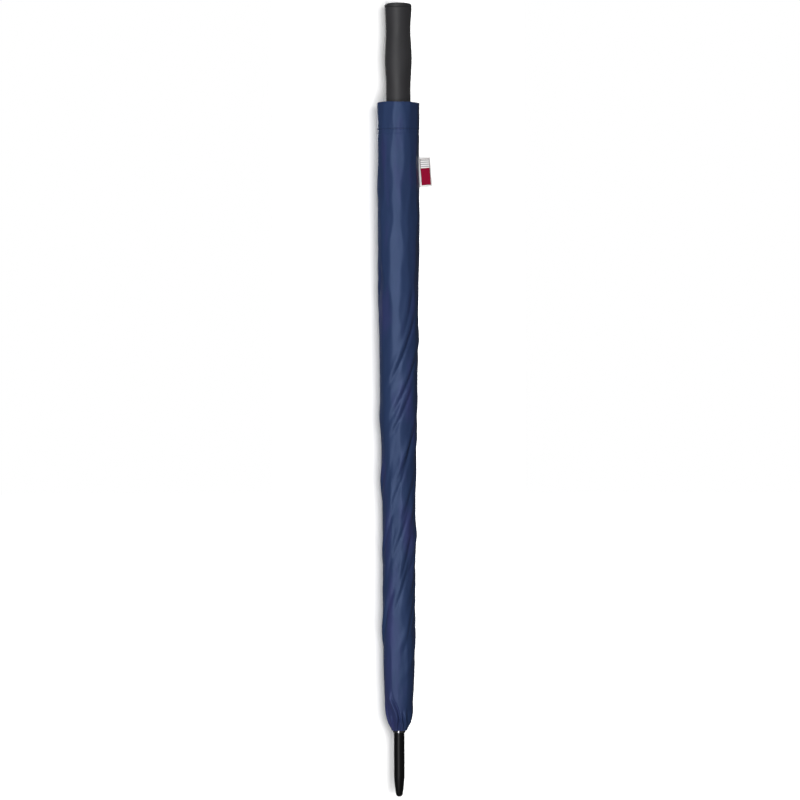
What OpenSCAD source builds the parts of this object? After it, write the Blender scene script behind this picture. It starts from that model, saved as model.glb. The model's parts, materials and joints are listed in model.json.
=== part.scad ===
// Closed stick umbrella in its slip-on fabric sleeve, with the whole folding frame inside.
// The shaft lies along Z, with the handle up. The origin is the middle of the hand grip.

/* [Shaft and ferrule] */
// Distance from the tip of the ferrule to the middle of the grip
tip_to_grip = 925; // [800:5:1200]
// Outside diameter of the shaft tube
shaft_d = 14; // [12:0.5:16]
// Wall of the shaft tube
shaft_wall = 1.2; // [0.8:0.1:1.6]
// Length of the ferrule below the shaft
ferrule_length = 84; // [60:1:110]
// Diameter of the ferrule where it is straight
ferrule_d = 13.4; // [11:0.2:15]
// Diameter of the ferrule's rounded end
ferrule_end_d = 9.4; // [7:0.2:10.6]
// Length of the metal ring that covers the joint of the ferrule and the shaft
ring_l = 7; // [6:0.5:8]
// How far the ring laps over the ferrule
ring_lap = 3; // [2:0.5:4]

/* [Frame] */
// Space between the runner and the handle when the umbrella is closed
finger_room = 22; // [15:1:60]
// Space between the ribs' tips and the handle
rib_to_handle = 4; // [3:0.5:20]
// Diameter of a rib rod
rib_d = 3; // [2.4:0.1:3.6]
// Angle between a rib and the shaft when the umbrella is open
opening_angle = 75; // [60:1:80]
// Radius of the round eyes at the pivots
eye_r = 1.6; // [1.4:0.1:2]
// Radius of the pivot pins
pin_r = 0.7; // [0.5:0.05:0.8]
// Thickness of the flat blades at the pivots
blade_t = 2; // [1.6:0.1:2.4]
// Wall of the runner's barrel
runner_wall = 1.65; // [1.2:0.05:2.4]
// Length of the runner's barrel
runner_length = 58; // [44:1:60]

/* [Handle] */
// Length of the handle from its base to the end
handle_length = 150; // [120:1:160]
// Mean diameter of the grip
grip_d = 33.2; // [30:0.2:38]
// How far the grip's diameter swells and narrows
grip_wave = 1.6; // [0:0.1:3]
// Distance between two swellings of the grip
grip_pitch = 73; // [50:1:90]
// Thickness of the soft grip at its mean diameter
grip_wall = 4.1; // [3:0.1:5]
// Thickness of the cap on the handle's end
cap_t = 6; // [4:0.5:8]

/* [Canopy and sleeve] */
// Thickness of the folded canopy over the ribs near the crown
fold_at_crown = 2.2; // [1.5:0.1:4]
// Thickness of the folded canopy over the ribs near the handle
fold_at_hem = 7.9; // [5:0.1:10]
// Wall that stands for the canopy's folded layers
canopy_wall = 2; // [1:0.1:2.1]
// Thickness of the sleeve's cloth with its fullness
sleeve_wall = 0.7; // [0.4:0.1:1]
// Space between the canopy and the sleeve near the crown
sleeve_gap_at_crown = 1.1; // [0.6:0.1:2]
// Space between the canopy and the sleeve at the mouth
sleeve_gap_at_mouth = 2.1; // [2.1:0.1:4]
// How far the folded canopy ends below the ribs' tips
hem_to_rib_tip = 46; // [30:1:60]
// How far the sleeve reaches over the handle
sleeve_over_handle = 24; // [10:1:60]
// Width of the label beside the sleeve
label_w = 16.8; // [10:0.2:22]
// Height of the label
label_h = 40; // [25:1:50]
// Distance from the sleeve's mouth to the label
label_to_mouth = 67; // [40:1:120]
// Thickness of the label's folded ribbon
label_t = 0.8; // [0.5:0.1:1.2]
// Width of the strap that ties the canopy
strap_w = 24; // [16:1:32]
// Thickness of the strap
strap_t = 0.8; // [0.5:0.1:1]
// Distance from the strap to the hem
strap_to_hem = 74; // [40:1:100]

/* [Hidden] */
$fn = 48;
RIBS = 8;

// Running clearance of a pin in its eye, and the side play of a blade in its slot
pin_play = 0.05;
blade_play = 0.5;
// Smallest gap left between pieces that pass each other
gap = 0.3;
// Fit of pieces that sit on each other without moving
seat = 0.02;
// How far a cutting solid runs past what it cuts
cut = 1;

shaft_r = shaft_d / 2;
bore_r = shaft_r - shaft_wall;

// Heights along the shaft
tip_z = -tip_to_grip;
shaft_z = tip_z + ferrule_length;
ring_z = shaft_z - ring_lap;
ring_top_z = ring_z + ring_l;
crown_z = shaft_z + 18;
handle_z = -handle_length / 2;
handle_end_z = handle_length / 2;
cap_z = handle_end_z - cap_t;
runner_z = handle_z - finger_room - runner_length;
joint_z = (crown_z + runner_z) / 2;
rib_end_z = handle_z - rib_to_handle;
// The rib's lower part and the stretcher are equal, so the runner's pivots stay on one line
stretcher_length = runner_z - joint_z;
travel = 2 * stretcher_length * (1 - cos(opening_angle));
open_runner_z = runner_z - travel;

// Radii that stack outwards from the shaft: barrel, pivots, rib rods, cage of ribs
barrel_bore_r = shaft_r + 0.25;
barrel_r = barrel_bore_r + runner_wall;
pivot_r = barrel_r + gap + eye_r;
flange_r = pivot_r + eye_r;
rod_r = flange_r + gap + rib_d / 2;
clip_r = rib_d / 2 + 0.5;
cage_r = rod_r + clip_r + 0.2;
crown_r = flange_r + 0.2;
slot_w = blade_t + 2 * blade_play;
axle_l = slot_w + 1.8;

// The canopy's outside when it is folded: [radius, height] from the crown to the hem
crank_z = crown_z + 38;
canopy_top_z = rib_end_z - hem_to_rib_tip;
canopy_l = canopy_top_z - crown_z;
full_z = crown_z + 0.83 * canopy_l;
canopy_foot_z = crown_z + 6;
canopy_outside = [
    [crown_r + 1.2, canopy_foot_z],
    [cage_r + 0.6, crank_z],
    [cage_r + fold_at_crown, crown_z + 0.1 * canopy_l],
    [cage_r + fold_at_crown + 1, crown_z + 0.34 * canopy_l],
    [cage_r + fold_at_hem, full_z],
    [cage_r + fold_at_hem, canopy_top_z]
];
canopy_inside = [
    [crown_r + 0.6, canopy_foot_z],
    [cage_r, crank_z],
    for (k = [2 : 5]) [max(cage_r, canopy_outside[k][0] - canopy_wall), canopy_outside[k][1]]
];

// The sleeve's inside: a narrow foot round the ferrule's ring, then clear of the canopy
ring_r = shaft_r + 0.8;
foot_z = shaft_z + 2;
mouth_z = handle_z + sleeve_over_handle;
sleeve_r = cage_r + fold_at_hem + sleeve_gap_at_mouth;
sleeve_inside = [
    [ring_r + 0.25, foot_z],
    [ring_r + 2.9, foot_z + 2.5],
    [crown_r + 0.7, foot_z + 9],
    for (k = [0 : 3]) [canopy_outside[k][0] + sleeve_gap_at_crown, canopy_outside[k][1]],
    [sleeve_r, full_z],
    [sleeve_r, mouth_z]
];

// Catches: sprung fingers in the shaft whose noses stand out through its wall
nose_l = 12;
nose_w = 2.8;
nose_r = barrel_r - 0.3;
finger_l = 40;
finger_t = 2.2;
nose_above_pin = 15;
catch_x = bore_r - 1.5;
lower_pin_to_runner_end = 43;
upper_nose_past_runner = 4;
lower_catch_z = runner_z + runner_length - lower_pin_to_runner_end;
upper_catch_z = open_runner_z + runner_length + upper_nose_past_runner - nose_above_pin;

// The runner's flange, and the collar that it meets when the umbrella is open
flange_t = 4;
stop_l = 5;
stop_gap = 2;
stop_z = open_runner_z - flange_t - stop_gap - stop_l;

function azimuth(i) = 360 / RIBS * (i - 0.5);
function reversed(list) = [for (k = [len(list) - 1 : -1 : 0]) list[k]];
function grown(list, by) = [for (p = list) [p[0] + by, p[1]]];

// A cylinder along the tangent at a pivot of radius r0 and height z
module tangent_rod(r0, z, r, h) {
    translate([r0, 0, z]) rotate([90, 0, 0]) cylinder(r = r, h = h, center = true);
}

module ring(r_in, r_out, z, h) {
    difference() {
        translate([0, 0, z]) cylinder(r = r_out, h = h);
        translate([0, 0, z - cut]) cylinder(r = r_in, h = h + 2 * cut);
    }
}

// Radial slots at every rib, open outwards, from r0 to r1 and over the height h
module rib_slots(r0, r1, z, h, w) {
    for (i = [1 : RIBS])
        rotate([0, 0, azimuth(i)]) translate([r0, -w / 2, z]) cube([r1 - r0, w, h]);
}

module shaft() {
    side_room = 0.2;
    end_room = 0.8;
    color("silver") difference() {
        ring(bore_r, shaft_r, shaft_z, cap_z - shaft_z);
        for (z = [lower_catch_z, upper_catch_z])
            translate([bore_r / 2, -nose_w / 2 - side_room, z + nose_above_pin - end_room])
                cube([shaft_r, nose_w + 2 * side_room, nose_l + 2 * end_room]);
    }
}

// Turned ferrule: a taper with a rounded end, a straight part, a neck and a spigot in the shaft
module ferrule() {
    taper_share = 0.31;
    neck_share = 0.74;
    straight_z = tip_z + taper_share * ferrule_length;
    neck_z = tip_z + neck_share * ferrule_length;
    end_r = ferrule_end_d / 2;
    neck_r = min(ferrule_d / 2, shaft_r) - 0.4;
    spigot_r = bore_r - 0.05;
    spigot_l = 26;
    color("black") rotate_extrude() polygon([
        [0, tip_z],
        for (a = [0 : 15 : 90]) [end_r * sin(a), tip_z + end_r * (1 - cos(a))],
        [ferrule_d / 2, straight_z],
        [ferrule_d / 2, neck_z],
        [neck_r, shaft_z],
        [spigot_r, shaft_z],
        [spigot_r, shaft_z + spigot_l],
        [0, shaft_z + spigot_l]
    ]);
}

module ferrule_ring() {
    color("silver") ring(shaft_r + seat, ring_r, ring_z, ring_l);
}

// The crown's underside, and the room for the canopy's cloth between it and its cap
crown_h = 9;
crown_base_z = crown_z - 5;
cloth_room = 1;

// Cap that clamps the canopy's top against the crown
module crown_cap() {
    cap_r = crown_r - 0.6;
    top_z = crown_base_z - cloth_room;
    rim_l = 1.2;
    color("black") rotate_extrude() polygon([
        [shaft_r + seat, ring_top_z],
        [ring_r + 0.5, ring_top_z],
        [cap_r, top_z - rim_l],
        [cap_r, top_z],
        [shaft_r + seat, top_z]
    ]);
}

// Notched ring on the shaft that holds the ribs' wire
module crown() {
    color("black") difference() {
        ring(shaft_r + seat, crown_r, crown_base_z, crown_h);
        rib_slots(barrel_r, crown_r + cut, crown_base_z - cut, crown_h + 2 * cut, slot_w);
        rotate_extrude() translate([pivot_r, crown_z]) circle(r = pin_r);
    }
}

module crown_wire() {
    color("silver") rotate_extrude() translate([pivot_r, crown_z]) circle(r = pin_r - seat);
}

// Crimped collar that stops the runner when the umbrella is open
module top_stop() {
    color("silver") ring(shaft_r + seat, barrel_r - 0.2, stop_z, stop_l);
}

// The grip swells at swell_z and at its end, and stays narrow below its first waist
collar_t = 6;
core_r = grip_d / 2 - grip_wall;
swell_z = 5;
waist_z = swell_z - grip_pitch / 2;
function grip_r(z) =
    grip_d / 2 + grip_wave / 2 * cos(360 * (max(z, waist_z) - swell_z) / grip_pitch);

module handle_core() {
    low = handle_z + collar_t;
    color("dimgray") ring(shaft_r + seat, core_r, low, cap_z - low);
}

module handle_grip() {
    low = handle_z + collar_t;
    steps = 30;
    color([0.16, 0.16, 0.17]) rotate_extrude() polygon([
        [core_r + seat, low],
        for (k = [0 : steps]) let (z = low + (cap_z - low) * k / steps) [grip_r(z), z],
        [core_r + seat, cap_z]
    ]);
}

// Cap on the end of the handle, with a plug that goes into the shaft
module handle_end_cap() {
    r = grip_r(cap_z);
    plug_r = bore_r - 0.1;
    plug_l = 8;
    round_r = 0.45 * cap_t;
    color([0.12, 0.12, 0.13]) rotate_extrude() polygon([
        [0, cap_z - plug_l],
        [plug_r, cap_z - plug_l],
        [plug_r, cap_z],
        [r, cap_z],
        for (a = [0 : 15 : 90])
            [r - round_r + round_r * cos(a), handle_end_z - round_r + round_r * sin(a)],
        [0, handle_end_z]
    ]);
}

module handle_collar() {
    color("black") ring(shaft_r + seat, grip_r(handle_z + collar_t) - 0.4, handle_z, collar_t);
}

// A finger on a cross pin, whose nose comes out through the shaft's window
module catch(z) {
    color("silver") difference() {
        union() {
            tangent_rod(catch_x, z, finger_t / 2, nose_w);
            translate([catch_x - finger_t / 2, -nose_w / 2, z])
                cube([finger_t, nose_w, finger_l]);
            translate([catch_x, -nose_w / 2, z + nose_above_pin])
                cube([nose_r - catch_x, nose_w, nose_l]);
        }
        tangent_rod(catch_x, z, pin_r + pin_play, nose_w + 2 * cut);
    }
}

module catch_pins() {
    half_chord = sqrt(pow(bore_r, 2) - pow(catch_x + pin_r, 2));
    color("silver") for (z = [lower_catch_z, upper_catch_z])
        tangent_rod(catch_x, z, pin_r, 2 * half_chord - 0.1);
}

// Barrel with a notched flange; a slit along it passes the noses of the catches
module runner() {
    notch_depth = barrel_r + 0.1;
    axle_room = 0.1;
    color("black") difference() {
        union() {
            ring(barrel_bore_r, barrel_r, runner_z - flange_t, runner_length + flange_t);
            ring(barrel_bore_r, flange_r, runner_z - flange_t, flange_t);
        }
        rib_slots(notch_depth, flange_r + cut, runner_z - flange_t - cut, flange_t + 2 * cut, slot_w);
        for (i = [1 : RIBS])
            rotate([0, 0, azimuth(i)])
                tangent_rod(pivot_r, runner_z, pin_r + axle_room, axle_l + 4 * axle_room);
        translate([0, -nose_w / 2 - gap, runner_z - flange_t - cut])
            cube([barrel_r + gap, nose_w + 2 * gap, runner_length + flange_t + 2 * cut]);
    }
}

// Fluted finger collar at the runner's end; the flutes pass the stretchers' ends
module runner_collar() {
    collar_l = 10;
    collar_z = runner_z + runner_length - collar_l;
    color("black") difference() {
        ring(barrel_r + seat, flange_r, collar_z, collar_l);
        rib_slots(barrel_r + 0.1, flange_r + cut, collar_z - cut, collar_l + 2 * cut,
            axle_l + 2 * gap);
    }
}

// How far a rib's rod ends inside its tip
rod_short = 4;

// A rib: an eye on the crown's wire, a cranked blade, a socket and the rod
module rib(i) {
    socket_l = 16;
    land_l = 6;
    rod_l = rib_end_z - rod_short - crank_z;
    color("black") rotate([0, 0, azimuth(i)]) difference() {
        union() {
            tangent_rod(pivot_r, crown_z, eye_r, blade_t);
            rotate([90, 0, 0]) linear_extrude(blade_t, center = true) polygon([
                [pivot_r - eye_r, crown_z],
                [pivot_r + eye_r, crown_z],
                [rod_r + eye_r, crank_z],
                [rod_r + eye_r, crank_z + land_l],
                [rod_r - eye_r, crank_z + land_l],
                [rod_r - eye_r, crank_z]
            ]);
            translate([rod_r, 0, crank_z]) cylinder(r = clip_r, h = socket_l);
            translate([rod_r, 0, crank_z]) cylinder(d = rib_d, h = rod_l);
        }
        tangent_rod(pivot_r, crown_z, pin_r + pin_play, blade_t + 2 * cut);
    }
}

// Cap over the rib's end, where the corner of two panels is sewn
module rib_tip(i) {
    tip_l = 20;
    tip_r = rib_d / 2 + 0.7;
    color("black") rotate([0, 0, azimuth(i)]) translate([rod_r, 0, rib_end_z]) difference() {
        union() {
            translate([0, 0, -tip_l]) cylinder(r = tip_r, h = tip_l - tip_r);
            translate([0, 0, -tip_r]) sphere(r = tip_r);
        }
        translate([0, 0, -tip_l - cut])
            cylinder(d = rib_d + 2 * seat, h = tip_l - rod_short + cut + seat);
    }
}

// Clip on the rib with two ears and the stretcher's pin
module rib_clip(i) {
    clip_l = 14;
    ear_h = 6;
    ear_w = slot_w + 2.2;
    ear_r = pivot_r - eye_r + 0.2;
    color("black") rotate([0, 0, azimuth(i)]) union() {
        difference() {
            union() {
                translate([rod_r, 0, joint_z - clip_l / 2]) cylinder(r = clip_r, h = clip_l);
                translate([ear_r, -ear_w / 2, joint_z - ear_h / 2])
                    cube([rod_r - ear_r, ear_w, ear_h]);
            }
            translate([rod_r, 0, joint_z - clip_l]) cylinder(d = rib_d + 2 * seat, h = 2 * clip_l);
            translate([0, -slot_w / 2, joint_z - clip_l]) cube([flange_r + 0.1, slot_w, 2 * clip_l]);
        }
        tangent_rod(pivot_r, joint_z, pin_r, ear_w);
    }
}

// Flat end of a stretcher, and how far its round arm laps onto it
blade_l = 9;
arm_lap = 2;

// Stretcher from the rib's clip to the runner, with its axle at the runner's end
module stretcher(i) {
    arm_r = blade_t / 2 + 0.25;
    arm_l = stretcher_length - 2 * blade_l + 2 * arm_lap;
    blade_h = 2.4;
    color("black") rotate([0, 0, azimuth(i)]) union() {
        difference() {
            union() {
                for (z = [joint_z, runner_z]) tangent_rod(pivot_r, z, eye_r, blade_t);
                for (z = [joint_z, runner_z - blade_l])
                    translate([pivot_r - blade_h / 2, -blade_t / 2, z])
                        cube([blade_h, blade_t, blade_l]);
                translate([pivot_r, 0, joint_z + blade_l - arm_lap])
                    cylinder(r = arm_r, h = arm_l);
            }
            tangent_rod(pivot_r, joint_z, pin_r + pin_play, blade_t + 2 * cut);
        }
        tangent_rod(pivot_r, runner_z, pin_r, axle_l);
    }
}

// One eighth of the folded canopy, between two ribs
module canopy_panel(i) {
    seam = 0.4;
    color("navy") rotate([0, 0, azimuth(i) + seam / 2])
        rotate_extrude(angle = 360 / RIBS - seam)
            polygon(concat(canopy_inside, reversed(canopy_outside)));
}

// Tie strap round the folded canopy, and its snap
strap_z = canopy_top_z - strap_to_hem - strap_w;
strap_r = cage_r + fold_at_hem + 0.1;

module strap() {
    color("navy") ring(strap_r, strap_r + strap_t, strap_z, strap_w);
}

// Round snap, curved to lie on the strap
module strap_snap() {
    snap_r = 5;
    snap_t = 0.9;
    color("silver") intersection() {
        translate([0, -strap_r - strap_t, strap_z + strap_w / 2]) rotate([90, 0, 0])
            cylinder(r = snap_r, h = 4 * snap_t, center = true);
        ring(strap_r + strap_t, strap_r + strap_t + snap_t, strap_z, strap_w);
    }
}

// Slip-on sleeve: open at the mouth, with a small hole at its foot for the ferrule
module sleeve() {
    color("navy") rotate_extrude()
        polygon(concat(sleeve_inside, reversed(grown(sleeve_inside, sleeve_wall))));
}

// Folded ribbon label sewn into the sleeve's side seam
module sleeve_label() {
    seam_room = 0.05;
    label_r = sleeve_r + sleeve_wall + seam_room;
    color("crimson")
        translate([label_r, -label_t / 2, mouth_z - label_to_mouth - label_h])
            cube([label_w, label_t, label_h]);
}

shaft();
ferrule();
ferrule_ring();
crown();
crown_wire();
top_stop();
handle_core();
handle_grip();
handle_end_cap();
handle_collar();
crown_cap();
catch_pins();
catch(upper_catch_z);  // upper_catch
catch(lower_catch_z);  // lower_catch
runner();
runner_collar();
sleeve();
sleeve_label();
strap();
strap_snap();
for (i = [1 : RIBS]) {
    rib(i);
    rib_tip(i);
    rib_clip(i);
    stretcher(i);
    canopy_panel(i);
}
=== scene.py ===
import json
import math
import random
import bpy
import numpy as np
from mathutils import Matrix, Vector, noise


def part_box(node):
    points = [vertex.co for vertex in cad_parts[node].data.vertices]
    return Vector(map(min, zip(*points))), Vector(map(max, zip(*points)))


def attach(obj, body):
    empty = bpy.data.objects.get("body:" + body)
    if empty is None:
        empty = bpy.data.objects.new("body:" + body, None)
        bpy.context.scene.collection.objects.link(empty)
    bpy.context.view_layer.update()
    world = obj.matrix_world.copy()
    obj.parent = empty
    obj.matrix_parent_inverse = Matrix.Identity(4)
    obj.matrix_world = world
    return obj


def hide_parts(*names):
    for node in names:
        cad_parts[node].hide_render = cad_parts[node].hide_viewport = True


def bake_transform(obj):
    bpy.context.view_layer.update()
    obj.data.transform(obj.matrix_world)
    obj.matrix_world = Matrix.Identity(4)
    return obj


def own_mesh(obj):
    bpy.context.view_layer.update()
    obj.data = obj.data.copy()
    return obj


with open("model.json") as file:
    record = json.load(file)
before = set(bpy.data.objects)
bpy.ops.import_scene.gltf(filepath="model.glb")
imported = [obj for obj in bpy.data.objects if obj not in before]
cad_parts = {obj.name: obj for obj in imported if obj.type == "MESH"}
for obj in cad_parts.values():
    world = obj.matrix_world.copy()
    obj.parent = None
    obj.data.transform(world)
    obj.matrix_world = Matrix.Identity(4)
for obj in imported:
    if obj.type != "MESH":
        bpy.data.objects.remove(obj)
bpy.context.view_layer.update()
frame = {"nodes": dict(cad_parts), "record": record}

mm = 0.001
ribCount = 8
jointOf = {joint["name"]: joint for joint in frame["record"]["behaviour"]["joints"]}
crownHeight = jointOf["rib_1_hinge"]["pos_m"][2]
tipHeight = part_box("ferrule")[0].z
axisZ = Vector((0, 0, 1))


# helpers that build meshes
def smoothCurve(points, at):
    # a curve through the points that never overshoots them
    px = np.array([p[0] for p in points], float)
    py = np.array([p[1] for p in points], float)
    slope = np.diff(py) / np.diff(px)
    product = slope[1:] * slope[:-1]
    inner = np.where(product > 0, 2 * product / (slope[1:] + slope[:-1] + 1e-12), 0)
    tangent = np.concatenate(([slope[0]], inner, [slope[-1]]))
    k = np.clip(np.searchsorted(px, at) - 1, 0, len(px) - 2)
    h = px[k + 1] - px[k]
    t = np.clip((at - px[k]) / h, 0, 1)
    return (py[k] * (1 + 2 * t) * (1 - t) ** 2 + tangent[k] * h * t * (1 - t) ** 2
            + py[k + 1] * t * t * (3 - 2 * t) + tangent[k + 1] * h * t * t * (t - 1))


def smoothStep(low, high, x):
    t = np.clip((x - low) / (high - low), 0, 1)
    return t * t * (3 - 2 * t)


def skin(name, grid, size, closed=False, looped=False):
    # a mesh over a grid of points, with a UV map in metres so that weaves keep their scale;
    # a closed grid joins its last column to its first, and a looped one's last row is its first again
    rows, cols = grid.shape[:2]
    mesh = bpy.data.meshes.new(name)
    faces, corners = [], []
    width, height = size
    lastCol = cols if closed else cols - 1
    kept = rows - 1 if looped else rows
    for i in range(rows - 1):
        above = (i + 1) % kept
        for j in range(lastCol):
            beside = (j + 1) % cols
            faces.append((i * cols + j, i * cols + beside, above * cols + beside, above * cols + j))
            corners += [(j, i), (j + 1, i), (j + 1, i + 1), (j, i + 1)]
    mesh.from_pydata(grid[:kept].reshape(-1, 3).tolist(), [], faces)
    uv = mesh.uv_layers.new(name="UVMap")
    flat = np.array(corners, float) * (width / lastCol, height / (rows - 1))
    uv.data.foreach_set("uv", flat.ravel())
    mesh.shade_smooth()
    piece = bpy.data.objects.new(name, mesh)
    bpy.context.collection.objects.link(piece)
    return piece


def lathe(name, profile, sides):
    # turns a profile of (radius, height) in mm round the shaft
    angles = np.linspace(0, 2 * math.pi, sides, endpoint=False)
    ring = np.stack([np.cos(angles), np.sin(angles)], -1)
    grid = np.zeros((len(profile), sides, 3))
    for i, (radius, height) in enumerate(profile):
        grid[i, :, :2] = ring * radius * mm
        grid[i, :, 2] = height * mm
    length = sum(math.dist(a, b) for a, b in zip(profile, profile[1:])) * mm
    girth = 2 * math.pi * max(p[0] for p in profile) * mm
    return skin(name, grid, (girth, length), closed=True)


def thicken(piece, thickness):
    # half of the thickness goes to each side
    layer = piece.modifiers.new("thickness", "SOLIDIFY")
    layer.thickness = thickness
    layer.offset = 0
    layer.use_even_offset = True
    applyModifiers(piece)


def applyModifiers(piece):
    baked = bpy.data.meshes.new_from_object(piece.evaluated_get(bpy.context.evaluated_depsgraph_get()))
    piece.modifiers.clear()
    old, piece.data = piece.data, baked
    bpy.data.meshes.remove(old)


def joinPieces(name, parts):
    # one object from several; each brings its own materials
    bpy.ops.object.select_all(action="DESELECT")
    for part in parts:
        part.select_set(True)
    bpy.context.view_layer.objects.active = parts[0]
    bpy.ops.object.join()
    parts[0].name = name
    return parts[0]


def finishWith(piece, material):
    piece.data.materials.clear()
    piece.data.materials.append(material)


# helpers that build materials
def newMaterial(name, colour, roughness, **sockets):
    material = bpy.data.materials.new(name)
    material.use_nodes = True
    tree = material.node_tree
    shader = tree.nodes["Principled BSDF"]
    shader.inputs["Base Color"].default_value = (*colour, 1)
    shader.inputs["Roughness"].default_value = roughness
    for socket, value in sockets.items():
        shader.inputs[socket.replace("_", " ")].default_value = value
    return material, tree, shader


def addNode(tree, kind, **settings):
    node = tree.nodes.new(kind)
    for key, value in settings.items():
        if hasattr(node, key):
            setattr(node, key, value)
        else:
            node.inputs[key.replace("_", " ")].default_value = value
    return node


def varyColour(tree, shader, low, high, factor):
    mix = addNode(tree, "ShaderNodeMix", data_type="RGBA")
    mix.inputs["A"].default_value = (*low, 1)
    mix.inputs["B"].default_value = (*high, 1)
    tree.links.new(factor, mix.inputs["Factor"])
    tree.links.new(mix.outputs["Result"], shader.inputs["Base Color"])
    return mix


def varyRoughness(tree, shader, low, high, factor):
    span = addNode(tree, "ShaderNodeMapRange")
    span.inputs["To Min"].default_value = low
    span.inputs["To Max"].default_value = high
    tree.links.new(factor, span.inputs["Value"])
    tree.links.new(span.outputs["Result"], shader.inputs["Roughness"])


def bumpChain(tree, shader, layers):
    # layers are (height output, strength, distance in m), the coarsest first
    last = None
    for height, strength, distance in layers:
        bump = addNode(tree, "ShaderNodeBump", Strength=strength, Distance=distance)
        tree.links.new(height, bump.inputs["Height"])
        if last:
            tree.links.new(last, bump.inputs["Normal"])
        last = bump.outputs["Normal"]
    tree.links.new(last, shader.inputs["Normal"])


def noiseOn(tree, coordinates, scale, detail=3, stretch=None):
    source = coordinates
    if stretch:
        mapping = addNode(tree, "ShaderNodeMapping")
        mapping.inputs["Scale"].default_value = stretch
        tree.links.new(coordinates, mapping.inputs["Vector"])
        source = mapping.outputs["Vector"]
    texture = addNode(tree, "ShaderNodeTexNoise", Scale=scale, Detail=detail)
    tree.links.new(source, texture.inputs["Vector"])
    return texture.outputs["Fac"]


def wovenHeight(tree, uv, weave):
    # two crossing sets of threads, in UV metres; a thread takes 0.63 of the weave's size
    heights = []
    for direction in ("X", "Y"):
        wave = addNode(tree, "ShaderNodeTexWave", bands_direction=direction)
        wave.inputs["Scale"].default_value = 0.5 / weave
        wave.inputs["Distortion"].default_value = 0.4
        tree.links.new(uv, wave.inputs["Vector"])
        heights.append(wave.outputs["Fac"])
    both = addNode(tree, "ShaderNodeMath", operation="MULTIPLY")
    tree.links.new(heights[0], both.inputs[0])
    tree.links.new(heights[1], both.inputs[1])
    return both.outputs["Value"]


clothLook = {
    "deep": (0.0135, 0.027, 0.079),
    "light": (0.0225, 0.0435, 0.115),
    "violet": (0.034, 0.037, 0.130),
    "violetFrom": (0.52, 0.78),
    "roughness": (0.41, 0.54),
    "gloss": 0.43,
    "glossTint": (0.48, 0.63, 1.0, 1),
    "wrinkles": 0.5,
    "weave": 0.35 * mm,
    "weaveDepth": 0.05 * mm,
}
canopyLook = {**clothLook, "roughness": (0.45, 0.6), "wrinkles": 0.35}


def polyester(name, look):
    # satin weave: thread ridges, soft creases, and patches that lean to violet
    material, tree, shader = newMaterial(name, look["light"], look["roughness"][0],
                                         Specular_IOR_Level=look["gloss"], Specular_Tint=look["glossTint"])
    where = addNode(tree, "ShaderNodeTexCoord")
    place = where.outputs["Object"]
    blue = varyColour(tree, shader, look["deep"], look["light"], noiseOn(tree, place, 22, 4, (1, 1, 0.35)))
    patch = addNode(tree, "ShaderNodeMapRange")
    patch.inputs["From Min"].default_value, patch.inputs["From Max"].default_value = look["violetFrom"]
    tree.links.new(noiseOn(tree, place, 34, 2, (1.3, 1.3, 0.3)), patch.inputs["Value"])
    violet = addNode(tree, "ShaderNodeMix", data_type="RGBA")
    violet.inputs["B"].default_value = (*look["violet"], 1)
    tree.links.new(patch.outputs["Result"], violet.inputs["Factor"])
    tree.links.new(blue.outputs["Result"], violet.inputs["A"])
    tree.links.new(violet.outputs["Result"], shader.inputs["Base Color"])
    varyRoughness(tree, shader, *look["roughness"], noiseOn(tree, place, 60, 3, (1, 1, 0.3)))
    soft = noiseOn(tree, place, 75, 4, (1, 1, 0.3))
    weave = wovenHeight(tree, where.outputs["UV"], look["weave"])
    bumpChain(tree, shader, [(soft, look["wrinkles"], 0.8 * mm), (weave, 0.3, look["weaveDepth"])])
    return material


def rubber(name, colour):
    # matt and slightly mottled, with a fine grain
    material, tree, shader = newMaterial(name, colour, 0.6, Specular_IOR_Level=0.4, Sheen_Weight=0.06)
    where = addNode(tree, "ShaderNodeTexCoord")
    cloud = noiseOn(tree, where.outputs["Object"], 35, 4)
    varyColour(tree, shader, [c * 0.8 for c in colour], [c * 1.25 for c in colour], cloud)
    varyRoughness(tree, shader, 0.5, 0.68, cloud)
    grain = noiseOn(tree, where.outputs["Object"], 1500, 2)
    bumpChain(tree, shader, [(cloud, 0.15, 1 * mm), (grain, 0.25, 0.12 * mm)])
    return material


def mouldedPlastic(name, colour, roughness, grainStrength=0.1, gloss=0.5):
    # smoother than rubber, with a fainter grain
    material, tree, shader = newMaterial(name, colour, roughness, Specular_IOR_Level=gloss)
    where = addNode(tree, "ShaderNodeTexCoord")
    cloud = noiseOn(tree, where.outputs["Object"], 90, 3)
    varyColour(tree, shader, [c * 0.85 for c in colour], [c * 1.2 for c in colour], cloud)
    varyRoughness(tree, shader, roughness * 0.85, roughness * 1.2, cloud)
    grain = noiseOn(tree, where.outputs["Object"], 1100, 2)
    bumpChain(tree, shader, [(grain, grainStrength, 0.05 * mm)])
    return material


def drawnMetal(name, colour, roughness, stretch):
    # fine lines that run the way the metal was drawn
    material, tree, shader = newMaterial(name, colour, roughness, Metallic=1.0, Anisotropic=0.4)
    where = addNode(tree, "ShaderNodeTexCoord")
    lines = noiseOn(tree, where.outputs["Object"], 900, 3, stretch)
    varyColour(tree, shader, [c * 0.86 for c in colour], colour, lines)
    varyRoughness(tree, shader, roughness * 0.8, roughness * 1.3, lines)
    bumpChain(tree, shader, [(lines, 0.15, 0.03 * mm)])
    return material


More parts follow.
